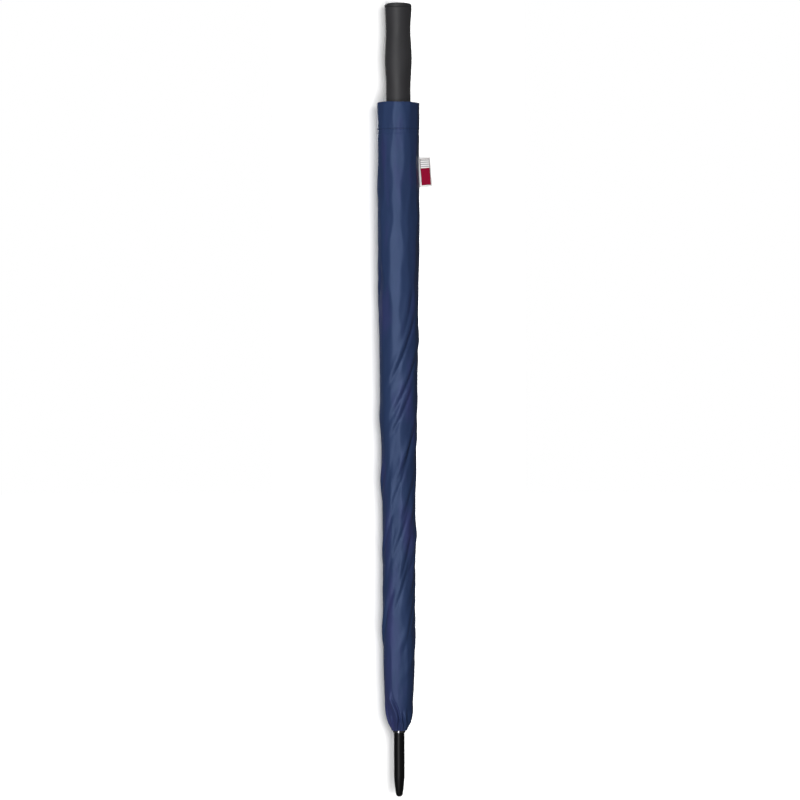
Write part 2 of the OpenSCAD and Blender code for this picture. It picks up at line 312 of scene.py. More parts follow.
colours = {
    "thread": (0.014, 0.024, 0.062),
    "grip": (0.0225, 0.022, 0.0245),
    "endCap": (0.018, 0.018, 0.020),
    "ferrule": (0.003, 0.003, 0.0035),
    "hub": (0.016, 0.016, 0.018),
    "rib": (0.014, 0.014, 0.015),
    "enamel": (0.012, 0.012, 0.013),
    "steel": (0.60, 0.61, 0.63),
    "bright": (0.70, 0.70, 0.72),
    "nickel": (0.16, 0.16, 0.17),
}
alongShaft = (1, 1, 0.03)
turnedPart = (1, 1, 0.2)

sleeveCloth = polyester("sleevePolyester", clothLook)
canopyCloth = polyester("canopyPolyester", canopyLook)
threadLook = mouldedPlastic("stitchThread", colours["thread"], roughness=0.5)
gripRubber = rubber("gripRubber", colours["grip"])
capRubber = rubber("capRubber", colours["endCap"])
ferrulePlastic = mouldedPlastic("ferrulePlastic", colours["ferrule"], roughness=0.38, grainStrength=0.06,
                                gloss=0.16)
hubPlastic = mouldedPlastic("hubPlastic", colours["hub"], roughness=0.42)
ribGlassFibre = mouldedPlastic("ribGlassFibre", colours["rib"], roughness=0.3, grainStrength=0.2)
blackEnamel = mouldedPlastic("blackEnamel", colours["enamel"], roughness=0.28, grainStrength=0.05)
shaftSteel = drawnMetal("shaftSteel", colours["steel"], 0.28, alongShaft)
brightMetal = drawnMetal("brightMetal", colours["bright"], 0.2, turnedPart)
darkNickel = drawnMetal("darkNickel", colours["nickel"], 0.18, turnedPart)
print("materials made")


# the sleeve: heights are in mm above its foot, azimuths and leans in degrees, other sizes in mm
sleeveShape = {
    # (height, radius) from the foot to the mouth
    "outline": [(-2.5, 8.9), (0, 10.0), (4, 11.8), (9, 13.6), (15, 15.2), (27, 17.0), (48, 18.6), (90, 20.0),
                (200, 20.6), (256, 20.9), (350, 22.6), (426, 23.9), (560, 26.0), (597, 26.7), (788, 27.0)],
    # how near the cloth may come to what is inside it: (height, radius), and how softly it stops there
    "closest": [(-2.5, 8.45), (3, 8.6), (10, 11.4), (14, 13.8), (22, 14.6), (36, 15.7), (54, 17.1),
                (86, 18.0), (256, 19.8), (598, 24.7), (613, 26.15), (643, 26.15), (658, 24.9), (788, 24.9)],
    "ease": 0.18,
    "proud": 0.35,  # beyond the solid sleeve
    "cloth": 0.35,
    "meanRadius": 25,
    "columns": 150,
    "footTop": 60,  # where the foot's rows end and the body's begin
    "footRows": 90,
    "bodyRows": 310,
    "hemRows": 80,
    "insideEvery": 3,  # the inside has one row for so many outside
    "seamDepth": 0.5,
    "seamWidth": 0.9,
    "seamStarts": (20, 50),
    # (depth, size, stretch up the sleeve) of the random swelling, large and small
    "rumples": ((0.55, 17, 3.2), (0.16, 6, 2.6)),
    "calmOver": (6, 40),  # all swelling sets in over these heights
    "quietOver": (120, 240),  # and the large one comes to its full size over these
    "quiet": 0.6,
    # swellings of the cloth: (height, azimuth, how far out), each so tall and so wide in radians
    "swellings": [(392, 180, 1.3), (356, 178, -0.5), (318, 170, 0.5), (240, 5, 0.5), (175, 176, 0.5),
                  (640, 0, 0.5)],
    "swellTall": 15,
    "swellWide": 0.75,
}
flatShape = {
    # azimuths of the soft creases between the flat stretches, with how far each wanders
    "creases": [(-170, 6), (-141, 7), (-112, 6), (-83, 6), (-64, 5), (-36, 5), (-5, 6), (24, 6), (55, 7),
                (88, 6), (120, 6), (155, 7)],
    # the wandering is a sum of waves: (height per radian, step from crease to crease, share)
    "waves": ((23, 2.3, 1.0), (8.5, 4.1, 0.6)),
    "twist": 9,  # of the upper creases
    "twistOver": (560, 770),
    "share": 0.3,  # of truly flat, low down
    "moreShare": 0.42,  # added higher up
    "moreOver": (430, 560),
    "startsOver": (40, 130),
    "blur": 36,  # finer ripples than this round the sleeve are softened away
    "sway": 0.05,  # of a flat place's edges, in radians
    # places where the cloth is stretched flatter: (height, azimuth, half angle, half height, share)
    "places": [(78, -89.94, 31, 52, 0.6), (300, -101, 17, 130, 0.7), (150, 117.14, 28, 90, 0.5)],
}
foldShape = {
    # big folds: (height, azimuth, length, depth, lean)
    "folds": [(523, -62, 62, 0.6, 12), (479, -72, 100, 1.0, 22), (437, -64, 84, 0.95, 24),
              (400, -80, 66, 0.85, 25), (352, -58, 88, 0.9, 20), (325, -76, 88, 0.8, 18),
              (290, -56, 60, 0.7, 20), (247, -84, 70, 0.75, 19), (214, -68, 76, 0.9, 16),
              (186, -76, 70, 0.8, 16), (132, -50, 70, 0.7, 14), (330, -122, 90, 0.35, 12),
              (210, -128, 90, 0.4, 10)],
    # and others, drawn at random from these ranges
    "others": 26,
    "height": (120, 560),
    "azimuth": (-30, 215),
    "length": (60, 105),
    "depth": (0.45, 0.95),
    "lean": (13, 24),
    "gentle": 3.4,  # width of the rise
    "steep": 2.0,  # and of the drop
    "bow": 0.0012,  # of a fold along its length
    "peak": 1.65,  # brings the steepest fold to its full depth
    "ends": 2.1,  # how early a fold fades towards its ends
}
gatherShape = {
    # gathers at the foot: (azimuth at the hole, 15 mm up and 40 mm up, height where it fades, size)
    "gathers": [(-100, -91, -121, 54, 2.9), (-56, -73, -78, 27, 2.2), (-34, -50, -56, 28, 2.0),
                (-130, -126, -140, 22, 1.5), (-80, -82, -84, 11, 1.2), (-156, -158, -166, 42, 1.5),
                (-8, -14, -18, 34, 1.5)],
    # and others at even steps over a sweep, moved a little at random
    "others": 7,
    "sweepStart": 18,
    "sweep": 172,
    "jitter": 7,
    "lean": (-18, 8),
    "reach": (26, 44),
    "size": (1.1, 1.7),
    # section across a gather, and how narrow and weak it is at the hole
    "ridgeAside": 2.6,
    "ridgeLeft": 3.4,
    "ridgeRight": 1.7,
    "grooveAside": 3.2,
    "grooveWidth": 1.3,
    "grooveShare": 0.7,
    "widthAtHole": 0.55,
    "wideAt": 22,
    "strengthAtHole": 0.45,
    "strongAt": 8,
}
hemShape = {
    "height": 34,
    "margin": 10,  # of close rows below it
    "step": 0.3,
    # (depth, width, distance below the stitches) of the grooves
    "grooves": ((0.42, 0.9, 0), (0.3, 1.1, 5.0)),
    "puckers": 31,
    "puckerDepth": 0.12,
    "puckerReach": 6,
    "mouthReach": 30,
    "stitches": 58,
    "stitchLength": 2.1,
    "stitchThick": 0.28,
    "stitchProud": 0.06 * mm,
}


def wrapAngle(angle):
    return (angle + math.pi) % (2 * math.pi) - math.pi


def flatStretches(angles, heights):
    # share of the radius lost between the creases, where the cloth lies nearly flat
    shape = flatShape
    order = np.arange(len(shape["creases"]))
    edges = np.radians([crease[0] for crease in shape["creases"]])
    wander = np.radians([crease[1] for crease in shape["creases"]])
    above = heights[:, None]
    waves = sum(share * np.sin(above / tall + order * step) for tall, step, share in shape["waves"])
    twist = np.radians(shape["twist"]) * smoothStep(*shape["twistOver"], heights)
    edges = edges + wander * waves / sum(wave[2] for wave in shape["waves"]) + twist[:, None]
    loss = np.zeros((len(heights), len(angles)))
    for k in order:
        start = edges[:, k]
        span = (edges[:, (k + 1) % len(order)] - start) % (2 * math.pi)
        along = (angles[None] - start[:, None]) % (2 * math.pi)
        inside = along < span[:, None]
        away = np.clip(along - span[:, None] / 2, -1.2, 1.2)
        loss = np.where(inside, 1 - np.cos(span[:, None] / 2) / np.cos(away), loss)
    # the creases are soft, so each row is blurred a little round the sleeve
    spread = np.fft.rfftfreq(len(angles), 1 / len(angles))
    soft = np.exp(-(spread / shape["blur"]) ** 2)
    share = shape["share"] + shape["moreShare"] * smoothStep(*shape["moreOver"], heights)
    share = share * smoothStep(*shape["startsOver"], heights)
    return np.fft.irfft(np.fft.rfft(loss, axis=1) * soft, len(angles), axis=1) * share[:, None]


def flatPlace(angles, heights, place):
    # share of the radius lost at one place that is stretched flatter
    height, azimuth, halfAngle, halfHeight, share = place
    above = heights[:, None]
    edge = math.radians(halfAngle)
    away = np.abs(wrapAngle(angles[None] - math.radians(azimuth) - np.sin(above / 33) * flatShape["sway"]))
    flat = 1 - math.cos(edge) / np.cos(np.minimum(away, edge))
    return flat * share * np.exp(-((above - height) / halfHeight) ** 4)


def foldStep(angles, heights, radius, fold):
    # a lap in the cloth: a gentle rise, a steep drop, a gentle rise back
    height, azimuth, length, depth, lean = fold
    along = heights[:, None] - height
    across = radius * wrapAngle(angles[None] - math.radians(azimuth)) - math.tan(math.radians(lean)) * along
    across = across + foldShape["bow"] * along ** 2
    wide = np.where(across > 0, foldShape["steep"], foldShape["gentle"]) * (1 + 0.5 * np.abs(along) / length)
    step = -(across / wide) * np.exp(-0.5 * (across / wide) ** 2) * foldShape["peak"]
    return depth * step * np.exp(-(foldShape["ends"] * along / length) ** 4)


def gatherLap(angles, heights, radius, gather):
    # a lap that runs down to the hole: a ridge with a gentle left side, and a groove on its steep right
    shape = gatherShape
    atHole, atFifteen, atForty, reach, size = gather
    azimuth = np.radians(smoothCurve([(0, atHole), (15, atFifteen), (40, atForty)], heights))
    across = radius * wrapAngle(angles[None] - azimuth[:, None])
    width, strength = shape["widthAtHole"], shape["strengthAtHole"]
    width = width + (1 - width) * smoothStep(0, shape["wideAt"], heights)
    strength = strength + (1 - strength) * smoothStep(0, shape["strongAt"], heights)
    strength = strength * smoothStep(reach, reach * 0.45, heights)
    crest = across / width[:, None] + shape["ridgeAside"]
    ridge = np.exp(-(crest / np.where(crest < 0, shape["ridgeLeft"], shape["ridgeRight"])) ** 2)
    groove = shape["grooveShare"] * np.exp(-((crest - shape["grooveAside"]) / shape["grooveWidth"]) ** 2)
    return size * strength[:, None] * (ridge - groove)


def clothNoise(angles, heights, size, stretch):
    # smooth random swelling over the sleeve, from -1 to 1
    reach = sleeveShape["meanRadius"] / size
    ring = [(reach * math.cos(a), reach * math.sin(a)) for a in angles]
    values = [noise.noise((x, y, h / size / stretch)) for h in heights for x, y in ring]
    return np.array(values).reshape(len(heights), len(angles))


def allFolds():
    # the placed folds and gathers, and then the random ones
    random.seed(11)
    folds = list(foldShape["folds"])
    ranges = [foldShape[key] for key in ("height", "azimuth", "length", "depth", "lean")]
    for _ in range(foldShape["others"]):
        folds.append([random.uniform(*between) for between in ranges])
    gathers = list(gatherShape["gathers"])
    for k in range(gatherShape["others"]):
        jitter = random.uniform(-gatherShape["jitter"], gatherShape["jitter"])
        azimuth = gatherShape["sweepStart"] + k * gatherShape["sweep"] / gatherShape["others"] + jitter
        lean = random.uniform(*gatherShape["lean"])
        reach = random.uniform(*gatherShape["reach"])
        size = random.uniform(*gatherShape["size"])
        gathers.append((azimuth, azimuth + lean / 3, azimuth + lean, reach, size))
    return folds, gathers


def hemRelief(angles, heights, length):
    # a doubled band, a stitched groove with another below it, and small puckers
    line = length - hemShape["height"]
    above = heights[:, None]
    relief = hemShape["step"] * smoothStep(line - 0.8, line + 1.2, heights)[:, None]
    for depth, width, below in hemShape["grooves"]:
        relief = relief - depth * np.exp(-((above - line + below) / width) ** 2)
    pucker = hemShape["puckerDepth"] * np.exp(-((above - line) / hemShape["puckerReach"]) ** 2)
    return relief + pucker * np.sin(hemShape["puckers"] * angles[None] + 2 * np.sin(5 * angles[None]))


def sleeveRows(length):
    # heights of the rows, closer together at the foot and at the hem
    shape = sleeveShape
    hemStart = length - hemShape["height"] - hemShape["margin"]
    foot = np.linspace(shape["outline"][0][0], shape["footTop"], shape["footRows"], endpoint=False)
    body = np.linspace(shape["footTop"], hemStart, shape["bodyRows"], endpoint=False)
    return np.concatenate((foot, body, np.linspace(hemStart, length, shape["hemRows"])))


def makeSleeve():
    shape = sleeveShape
    low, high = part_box("sleeve")
    length = (high.z - low.z) / mm
    angles = np.linspace(0, 2 * math.pi, shape["columns"], endpoint=False)
    heights = sleeveRows(length)
    above = heights[:, None]
    base = smoothCurve(shape["outline"], heights)[:, None]
    radius = base - base * flatStretches(angles, heights)
    for place in flatShape["places"]:
        radius -= base * flatPlace(angles, heights, place)
    folds, gathers = allFolds()
    for fold in folds:
        radius += foldStep(angles, heights, base, fold)
    for gather in gathers:
        radius += gatherLap(angles, heights, base, gather)
    for place, azimuth, rise in shape["swellings"]:
        away = wrapAngle(angles[None] - math.radians(azimuth)) / shape["swellWide"]
        radius += rise * np.exp(-((above - place) / shape["swellTall"]) ** 2 - away ** 2)
    calm = smoothStep(*shape["calmOver"], heights)[:, None]
    quiet = shape["quiet"] + (1 - shape["quiet"]) * smoothStep(*shape["quietOver"], heights)[:, None]
    for (depth, size, stretch), share in zip(shape["rumples"], (calm * quiet, calm)):
        radius += share * depth * clothNoise(angles, heights, size, stretch)
    radius += hemRelief(angles, heights, length)

    # the seam runs down the right-hand side
    fromSeam = wrapAngle(angles)[None] * base
    seam = shape["seamDepth"] * np.exp(-(fromSeam / shape["seamWidth"]) ** 2)
    radius -= seam * smoothStep(*shape["seamStarts"], heights)[:, None]
    # the cloth stops softly at what is inside it, and keeps within its own room
    room = radius - smoothCurve(shape["closest"], heights)[:, None]
    radius += np.log1p(np.exp(-room / shape["ease"])) * shape["ease"]
    radius = np.minimum(radius, high.x / mm + shape["proud"])

    def clothPoints(radii, levels):
        # the mouth's edge waves a little
        wave = 0.35 * np.sin(2 * angles + 0.7) + 0.2 * np.sin(5 * angles)
        nearMouth = smoothStep(length - hemShape["mouthReach"], length, levels)
        rise = levels[:, None] + wave[None] * nearMouth[:, None]
        return np.stack([radii * np.cos(angles) * mm, radii * np.sin(angles) * mm, low.z + rise * mm], -1)

    # the inside has fewer rows, so it keeps behind the deepest folds near each
    padded = np.pad(radius, ((1, 1), (0, 0)), mode="edge")
    deepest = np.minimum(np.minimum(padded[:-2], padded[1:-1]), padded[2:])
    lastRow = len(heights) - 1
    fewer = np.append(np.arange(0, lastRow, shape["insideEvery"]), lastRow)
    # one closed skin: up the outside, over the mouth, down the inside
    outside = clothPoints(radius, heights)
    inside = clothPoints(deepest[fewer] - shape["cloth"], heights[fewer])[::-1]
    grid = np.concatenate((outside, inside, outside[:1]))
    girth = 2 * math.pi * shape["meanRadius"] * mm
    cloth = skin("sleeveCloth", grid, (girth, 2 * length * mm), closed=True, looped=True)
    finishWith(cloth, sleeveCloth)
    return cloth, radius, heights, angles


sleeve, sleeveRadius, sleeveHeights, sleeveAngles = makeSleeve()
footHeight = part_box("sleeve")[0].z
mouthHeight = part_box("sleeve")[1].z


def sleeveSurface(angle, height):
    # the sleeve's outer radius in metres at an angle and a height above the foot in mm
    j = int(round(angle / (2 * math.pi) * len(sleeveAngles))) % len(sleeveAngles)
    return float(np.interp(height, sleeveHeights, sleeveRadius[:, j])) * mm


def hemStitch(number):
    # place of one stitch on the hem, with the ways out of the cloth and along the thread
    angle = 2 * math.pi * (number + 0.5) / hemShape["stitches"]
    height = (mouthHeight - footHeight) / mm - hemShape["height"]
    radius = sleeveSurface(angle, height) + hemShape["stitchProud"]
    out = Vector((math.cos(angle), math.sin(angle), 0))
    return out * radius + axisZ * (footHeight + height * mm), out, axisZ.cross(out)


def makeStitches():
    # short lengths of thread, each a small six-sided bar with rounded ends
    vertices, faces = [], []
    halfThick = hemShape["stitchThick"] / 2
    for number in range(hemShape["stitches"]):
        place, out, along = hemStitch(number)
        side = out.cross(along)
        start = len(vertices)
        for share, size in ((-0.5, 0.35), (-0.4, 0.9), (0, 1.0), (0.4, 0.9), (0.5, 0.35)):
            for s in range(6):
                turn = s * math.pi / 3
                lift = (out * math.sin(turn) + side * math.cos(turn)) * (halfThick * size)
                vertices.append(place + (along * share * hemShape["stitchLength"] + lift) * mm)
        for ring in range(4):
            for s in range(6):
                a = start + ring * 6 + s
                b = start + ring * 6 + (s + 1) % 6
                faces.append((a, b, b + 6, a + 6))
        faces.append(tuple(range(start + 5, start - 1, -1)))
        faces.append(tuple(range(start + 24, start + 30)))
    mesh = bpy.data.meshes.new("sleeveHemStitches")
    mesh.from_pydata([tuple(v) for v in vertices], [], faces)
    mesh.shade_smooth()
    piece = bpy.data.objects.new("sleeveHemStitches", mesh)
    bpy.context.collection.objects.link(piece)
    finishWith(piece, threadLook)
    return piece


hemStitches = makeStitches()


labelShape = {
    "tilt": 4.0,  # degrees that it hangs away from upright
    "height": 37.5,
    "short": 0.3,  # narrower than its solid
    "inSeam": 0.8,  # of its width
    "ribbon": 0.18 * mm,
    "weave": 0.3 * mm,
    # half the gap between its two layers: flat, with a bulge, and at the fold
    "gap": 0.22,
    "bulge": 0.35,
    "foldGap": 0.05,
    "curl": 0.5,
    # widths of the white edge: left, right, bottom, top
    "edges": (3.2, 1.2, 2.0, 2.0),
    "whiteShare": 0.37,
    "stripes": 4,
    "pipingWidth": 0.6,
    "white": (0.93, 0.92, 0.91),
    "crimson": (0.30, 0.001, 0.028),
    "grey": (0.42, 0.40, 0.42),
    "piping": (0.09, 0.01, 0.025),
}


def labelRibbons():
    # woven ribbon in four colours: white, crimson, grey and piping
    shape = labelShape
    ribbons = [newMaterial("labelWhite", shape["white"], 0.5),
               newMaterial("labelCrimson", shape["crimson"], 0.7, Specular_IOR_Level=0.08),
               newMaterial("labelGrey", shape["grey"], 0.5), newMaterial("labelPiping", shape["piping"], 0.6)]
    for material, tree, shader in ribbons:
        where = addNode(tree, "ShaderNodeTexCoord")
        weave = wovenHeight(tree, where.outputs["UV"], shape["weave"])
        base = list(shader.inputs["Base Color"].default_value)[:3]
        varyColour(tree, shader, [c * 0.85 for c in base], base, weave)
        bumpChain(tree, shader, [(weave, 0.3, 0.06 * mm)])
    return [ribbon[0] for ribbon in ribbons]


def makeLabel():
    # a ribbon folded in half and sewn into the side seam, with stripes over a crimson field in a white edge
    shape = labelShape
    low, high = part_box("sleeve_label")
    width, height = (high.x - low.x) / mm - shape["short"], shape["height"]
    left, right, bottom, top = shape["edges"]
    line = shape["pipingWidth"]
    split = height * (1 - shape["whiteShare"])
    band = (height - top - split) / (2 * shape["stripes"] + 1)
    stripeEdges = [split + band * (k + 1) for k in range(2 * shape["stripes"])]
    across = [0, left, width - right, width, left + line, width - right - line]
    up = [0, bottom, split, height - top, height, bottom + line, height - top - line]
    xs = sorted(set(np.round(np.concatenate((np.linspace(0, width, 15), across)), 3)))
    zs = sorted(set(np.round(np.concatenate((np.linspace(0, height, 30), up, stripeEdges)), 3)))
    ribbons = labelRibbons()
    white, crimson, grey, piping = range(4)

    def ribbonAt(x, z):
        if not (left < x < width - right and bottom < z < height - top):
            return white
        if not (left + line < x < width - right - line and bottom + line < z < height - top - line):
            return piping
        if z < split:
            return crimson
        striped = stripeEdges[0] < z < stripeEdges[-1]
        return grey if striped and int((z - stripeEdges[0]) / band) % 2 == 0 else white

    layers = []
    for side in (-1, 1):
        grid = np.zeros((len(zs), len(xs), 3))
        for i, z in enumerate(zs):
            for j, x in enumerate(xs):
                gap = shape["gap"] + shape["bulge"] * math.sin(math.pi * min(1, x / width))
                gap = gap if x < width else shape["foldGap"]
                curl = shape["curl"] * math.sin(z / height * 2.4) * (x / width) ** 2
                grid[i, j] = ((x - shape["inSeam"]) * mm, (side * gap + curl) * mm, z * mm)
        layer = skin("labelLayer", grid, (width * mm, height * mm))
        for ribbon in ribbons:
            layer.data.materials.append(ribbon)
        for face in layer.data.polygons:
            face.material_index = ribbonAt(face.center.x / mm + shape["inSeam"], face.center.z / mm)
        thicken(layer, shape["ribbon"])
        layers.append(layer)
    label = joinPieces("sleeveLabel", layers)
    tilt = math.radians(shape["tilt"])
    middle = height / 2 * mm
    seamRadius = sleeveSurface(0, (low.z - footHeight) / mm + height / 2)
    for v in label.data.vertices:
        x, z = v.co.x, v.co.z - middle
        v.co.x = seamRadius + x * math.cos(tilt) - z * math.sin(tilt)
        v.co.z = (low.z + high.z) / 2 + x * math.sin(tilt) + z * math.cos(tilt)
    return label


label = makeLabel()
print("sleeve made:", len(sleeve.data.vertices), "points")


# the handle: its radius swells and narrows along it like a wave
gripShape = {
    "mean": 16.6,
    "wave": 0.8,
    "pitch": 73,
    "swellAt": 5,  # height of the thick part, from the middle
    "rows": 90,
    "bore": 13.4,
    # (depth, ripples round it, turns with height) of the faint dents
    "dents": ((0.10, 2, 1 / 40), (0.06, 5, -1 / 17)),
    "smallDent": 0.07,
}
capShape = {
    "shoulder": 2.4,
    "proud": 0.05,
    "belowTop": 0.6,  # where the dome starts
    "domeRise": 0.55,
}


def gripRadius(z):
    waist = gripShape["swellAt"] - gripShape["pitch"] / 2
    turn = 2 * math.pi * (max(z, waist) - gripShape["swellAt"]) / gripShape["pitch"]
    return gripShape["mean"] + gripShape["wave"] * math.cos(turn)


def makeGrip():
    shape = gripShape
    low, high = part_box("handle_grip")
    bottom, top = low.z / mm, high.z / mm
    start, end = gripRadius(bottom), gripRadius(top)
    profile = [(shape["bore"], bottom + 0.2), (start - 0.8, bottom), (start - 0.25, bottom + 0.25),
               (start, bottom + 0.9)]
    profile += [(gripRadius(z), z) for z in np.linspace(bottom + 1.2, top - 0.7, shape["rows"])]
    profile += [(end - 0.12, top - 0.25), (end - 0.5, top - 0.02), (shape["bore"] - 0.4, top)]
    grip = lathe("handleGrip", profile, 128)
    # soft rubber is never quite round, and has faint dents from the hand
    for v in grip.data.vertices:
        angle = math.atan2(v.co.y, v.co.x)
        z = v.co.z / mm
        out = sum(depth * math.sin(ripples * angle + z * turns) for depth, ripples, turns in shape["dents"])
        out += shape["smallDent"] * math.sin(3 * angle + z / 9) * math.sin(z / 21)
        radius = math.hypot(v.co.x, v.co.y)
        if radius > (shape["bore"] + 0.6) * mm:
            v.co.x *= 1 + out * mm / radius
            v.co.y *= 1 + out * mm / radius
    finishWith(grip, gripRubber)
    return grip


def makeEndCap():
    # a straight side, a rounded shoulder, a shallow ring groove and a low dome
    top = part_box("handle_end_cap")[1].z / mm
    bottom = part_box("handle_grip")[1].z / mm
    shoulder = capShape["shoulder"]
    edge = gripRadius(bottom)
    side = edge + capShape["proud"]
    dome = top - capShape["belowTop"]
    sideStart, sideEnd = bottom + 1.4, dome - shoulder
    profile = [(0.01, bottom - 0.5), (edge - 1.0, bottom - 0.5), (edge - 0.7, bottom + 0.1),
               (edge - 0.2, bottom + 0.35), (side, bottom + 0.9)]
    profile += [(side, sideStart + (sideEnd - sideStart) * k / 4) for k in range(5)]
    for step in range(1, 10):
        turn = step / 9 * math.pi / 2
        profile.append((side - shoulder * (1 - math.cos(turn)), dome - shoulder * (1 - math.sin(turn))))
    rim = edge - shoulder
    profile += [(rim - 0.6, dome + 0.03), (rim - 1.0, dome - 0.35), (rim - 1.5, dome - 0.35),
                (rim - 1.9, dome + 0.05)]
    for turn in np.linspace(0.15, math.pi / 2 - 0.02, 12):
        profile.append(((rim - 1.9) * math.cos(turn), dome + 0.05 + capShape["domeRise"] * math.sin(turn)))
    cap = lathe("handleEndCap", profile, 128)
    finishWith(cap, capRubber)
    return cap


handleGrip = makeGrip()
endCap = makeEndCap()
print("handle made")


ferruleShape = {
    # (radius, mm above the tip) of the turned outside
    "outline": [(0.02, 0), (1.6, 0.15), (2.9, 0.75), (3.8, 1.8), (4.45, 3.8), (5.0, 7.5), (5.55, 12),
                (6.05, 17), (6.45, 22), (6.68, 28), (6.7, 34), (6.7, 60), (6.7, 72), (6.62, 79),
                (6.35, 80.2), (6.3, 82)],
    # and of the spigot inside the crown
    "spigot": [(5.9, 84), (5.5, 100), (0.02, 100)],
    "rows": 120,
}


def makeFerrule():
    shape = ferruleShape
    tip = tipHeight / mm
    travel = np.linspace(0, 1, len(shape["outline"]))
    fine = np.linspace(0, 1, shape["rows"])
    radii = smoothCurve(list(zip(travel, [p[0] for p in shape["outline"]])), fine)
    heights = smoothCurve(list(zip(travel, [p[1] for p in shape["outline"]])), fine)
    profile = [(float(radius), tip + float(height)) for radius, height in zip(radii, heights)]
    profile += [(radius, tip + height) for radius, height in shape["spigot"]]
    ferrule = lathe("ferruleTip", profile, 96)
    finishWith(ferrule, ferrulePlastic)
    return ferrule


ferrule = makeFerrule()
print("ferrule made")


canopyShape = {
    # (mm above the crown, radius in mm) of the folded cloth between the ribs
    "outline": [(2.2, 13.4), (6, 13.9), (20, 15.0), (38, 16.2), (70, 17.2), (240, 18.6), (579, 23.3),
                (728, 23.6)],
    # and on the ribs
    "ribLine": [(2.2, 13.2), (6, 13.4), (20, 14.5), (38, 16.3), (70, 16.6), (240, 16.7), (579, 17.0),
                (728, 16.9)],
    "ribReach": 728,
    "halfBand": 4.9,  # half the band over which the cloth turns from one rib to the next
    "hemBow": 0.02,  # share of the reach
    "cloth": 0.3 * mm,
    "ridge": 0.5,
    "ridgesOver": (40, 140),
    "columns": 33,
    "rows": 120,
    "cut": (0.52, 0.7),  # width and length of a panel laid flat, in metres
}
halfStep = math.pi / ribCount
panelAngle = math.radians(jointOf["panel_1_hinge"]["range_deg"][1])


def makePanel(number):
    shape = canopyShape
    middle = 2 * math.pi * (number - 0.5) / ribCount + halfStep
    out = Vector((math.cos(middle), math.sin(middle), 0))
    side = Vector((-math.sin(middle), math.cos(middle), 0))
    reach, columns, rows = shape["halfBand"], shape["columns"], shape["rows"]
    shares = np.linspace(0, 1, columns)
    turned = 0.5 - np.sin(np.arcsin(1 - 2 * shares) / 3)  # places across the band for even turning
    grid = np.zeros((rows, columns + 2, 3))
    bottom = shape["outline"][0][0]
    for j in range(columns + 2):
        k = min(max(j - 1, 0), columns - 1)
        share = float(shares[k])
        # the hem runs nearly straight between the rib tips when the canopy is open
        top = shape["ribReach"] * math.cos(panelAngle / 2) / math.cos(panelAngle * (share - 0.5))
        top *= 1 + shape["hemBow"] * 4 * share * (1 - share)
        heights = bottom + (top - bottom) * np.linspace(0, 1, rows) ** 0.9
        ribRadius = smoothCurve(shape["ribLine"], heights)
        edge = ribRadius * math.sin(halfStep)
        if j in (0, columns + 1):
            across = edge * (-1 if j == 0 else 1)
        else:
            across = np.full(rows, (2 * float(turned[k]) - 1) * reach)
        crest = smoothCurve(shape["outline"], heights)
        level = np.clip(np.abs(across) / edge, 0, 1)
        valley = ribRadius * math.cos(halfStep)
        rise = np.sqrt(np.maximum(crest ** 2 - across ** 2, 1)) - valley
        depth = valley + rise * (1 - level ** 4) ** 0.6
        angle = middle + np.arctan2(across, depth)
        wrinkle = np.sin(9 * angle - heights / 21) * np.sin(heights / 83 + 3 * angle) * shape["ridge"]
        depth = depth + wrinkle * (1 - level ** 2) * smoothStep(*shape["ridgesOver"], heights)
        for i in range(rows):
            point = out * (float(depth[i]) * mm) + side * (float(across[i]) * mm)
            grid[i, j] = (point.x, point.y, crownHeight + heights[i] * mm)
    panel = skin(f"canopyPanel{number}", grid, shape["cut"])
    thicken(panel, shape["cloth"])
    finishWith(panel, canopyCloth)
    start = side * (-reach * mm) + axisZ * crownHeight
    end = side * (reach * mm) + axisZ * crownHeight
    return panel, start, end


panels = [makePanel(number) for number in range(1, ribCount + 1)]
print("canopy made:", len(panels), "panels")


strapShape = {
    "thick": 0.7 * mm,
    "wave": 0.12,
    "crown": 0.12,
    "lap": 0.55,  # radians that its end laps over its start
    "lapRise": 0.42,
    "lapOver": (0.86, 0.93),
    "skew": 0.3 * mm,
    "columns": 150,
    "rows": 15,
    "holdAt": 26.8 * mm,  # from the shaft's axis
}


def makeStrap():
    shape = strapShape
    low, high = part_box("strap")
    radius = (high.x - shape["thick"]) / mm
    columns, rows = shape["columns"], shape["rows"]
    lap = np.linspace(0, 1, columns)
    angles = lap * (2 * math.pi + shape["lap"]) - math.pi / 2 - 0.25
    grid = np.zeros((rows, columns, 3))
    for i, share in enumerate(np.linspace(0, 1, rows)):
        crown = shape["crown"] * math.sin(math.pi * share)
        overlap = shape["lapRise"] * smoothStep(*shape["lapOver"], lap)
        r = radius + crown + overlap + shape["wave"] * np.sin(angles * 7 + share * 2)
        grid[i, :, 0] = r * np.cos(angles) * mm
        grid[i, :, 1] = r * np.sin(angles) * mm
        grid[i, :, 2] = low.z + (high.z - low.z) * share + shape["skew"] * np.sin(angles * 3)
    strap = skin("tieStrap", grid, (0.17, high.z - low.z))
    thicken(strap, shape["thick"] * 0.45)
    finishWith(strap, canopyCloth)
    return strap


snapShape = {
    # (radius, height) of the stud, from its middle out and round to the back
    "profile": [(0.05, 0.35), (1.6, 0.32), (2.2, 0.18), (2.7, 0.16), (3.2, 0.38), (4.2, 0.42), (4.8, 0.2),
                (4.9, -0.5), (0.05, -0.5)],
    "proud": 0.25 * mm,
}


def makeSnap():
    low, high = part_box("strap_snap")
    centre = (low + high) / 2
    snap = lathe("strapSnap", snapShape["profile"], 48)
    for v in snap.data.vertices:
        x, y, z = v.co
        v.co = Vector((centre.x + x, high.y - z - snapShape["proud"], centre.z + y))
    snap.data.flip_normals()
    finishWith(snap, brightMetal)
    return snap


strap = makeStrap()
snap = makeSnap()
print("strap made")


